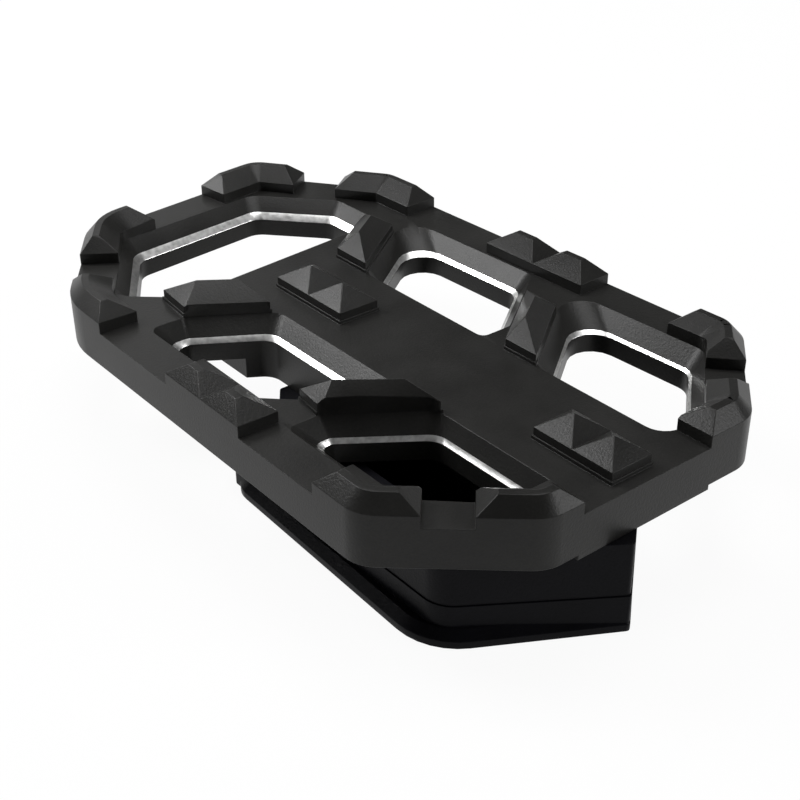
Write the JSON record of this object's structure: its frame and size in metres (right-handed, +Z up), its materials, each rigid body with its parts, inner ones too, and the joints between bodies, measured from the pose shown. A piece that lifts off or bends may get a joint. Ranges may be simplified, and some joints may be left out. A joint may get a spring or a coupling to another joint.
{
  "type": "brake pedal extension",
  "caption": "Wide toothed foot plate with beveled openings on a clamp block that grips the tip of a motorbike's brake pedal.",
  "frame": {"origin": "on the rest face of the clamp plate, straight below the middle of the foot plate", "axes": "+Z up through the foot plate, +X along its long side towards the clamp block, +Y across it"},
  "size_m": [0.0959, 0.0577, 0.0199],
  "materials": {
    "black_aluminium": "bead-blasted and black anodised, satin",
    "black_steel": "black oxide"
  },
  "bodies": {
    "root": {"foot_plate": "black_aluminium", "riser_block": "black_aluminium", "clamp_plate": "black_aluminium", "screw_left_front": "black_steel", "screw_left_back": "black_steel", "screw_right_front": "black_steel", "screw_right_back": "black_steel"}
  },
  "joints": []
}
